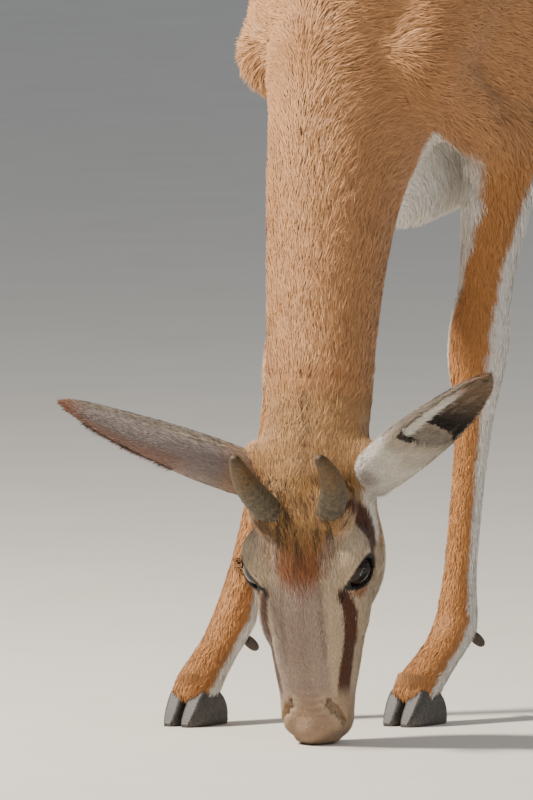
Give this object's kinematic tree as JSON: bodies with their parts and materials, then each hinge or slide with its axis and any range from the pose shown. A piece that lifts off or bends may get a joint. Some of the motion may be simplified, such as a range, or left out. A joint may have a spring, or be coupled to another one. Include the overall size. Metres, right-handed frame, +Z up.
{
  "type": "springbok",
  "caption": "Young springbok as a still life-size model, grazing with lowered neck, muzzle resting on the ground, slender legs and short horns.",
  "frame": {"origin": "centre of the bounding box at ground level, under the belly", "axes": "+Z up from the ground; the springbok faces -Y and its left side is +X"},
  "size_m": [0.3606, 1.001, 0.7249],
  "materials": {
    "coat_face": "short fur, cream and brown face coat",
    "coat_tan": "short fur, cinnamon coat over white underside",
    "coat_leg": "short sleek fur, orange-brown outside and white inside",
    "coat_white": "short fur, white",
    "tuft_hair": "long coarse black hair",
    "ear_skin": "thin skin with short grey-beige fur",
    "eye": "wet gloss, dark brown",
    "horn": "ringed keratin, dull sheen",
    "hoof": "dark grey keratin, worn edges"
  },
  "bodies": {
    "root": {"head": "coat_face", "neck_upper": "coat_tan", "neck_lower": "coat_tan", "chest": "coat_tan", "belly": "coat_tan", "croup": "coat_tan", "tail": "coat_white", "tail_tuft": "tuft_hair", "ear_left": "ear_skin", "ear_right": "ear_skin", "eye_left": "eye", "eye_right": "eye", "horn_left": "horn", "horn_right": "horn", "foreleg_left_forearm": "coat_leg", "foreleg_left_cannon": "coat_leg", "foreleg_left_pastern": "coat_leg", "hindleg_left_thigh": "coat_leg", "hindleg_left_gaskin": "coat_leg", "hindleg_left_cannon": "coat_leg", "hindleg_left_pastern": "coat_leg", "foreleg_left_claw_outer": "hoof", "foreleg_left_claw_inner": "hoof", "foreleg_left_dewclaw_outer": "hoof", "foreleg_left_dewclaw_inner": "hoof", "hindleg_left_claw_outer": "hoof", "hindleg_left_claw_inner": "hoof", "hindleg_left_dewclaw_outer": "hoof", "hindleg_left_dewclaw_inner": "hoof", "foreleg_right_forearm": "coat_leg", "foreleg_right_cannon": "coat_leg", "foreleg_right_pastern": "coat_leg", "hindleg_right_thigh": "coat_leg", "hindleg_right_gaskin": "coat_leg", "hindleg_right_cannon": "coat_leg", "hindleg_right_pastern": "coat_leg", "foreleg_right_claw_outer": "hoof", "foreleg_right_claw_inner": "hoof", "foreleg_right_dewclaw_outer": "hoof", "foreleg_right_dewclaw_inner": "hoof", "hindleg_right_claw_outer": "hoof", "hindleg_right_claw_inner": "hoof", "hindleg_right_dewclaw_outer": "hoof", "hindleg_right_dewclaw_inner": "hoof"}
  },
  "joints": []
}
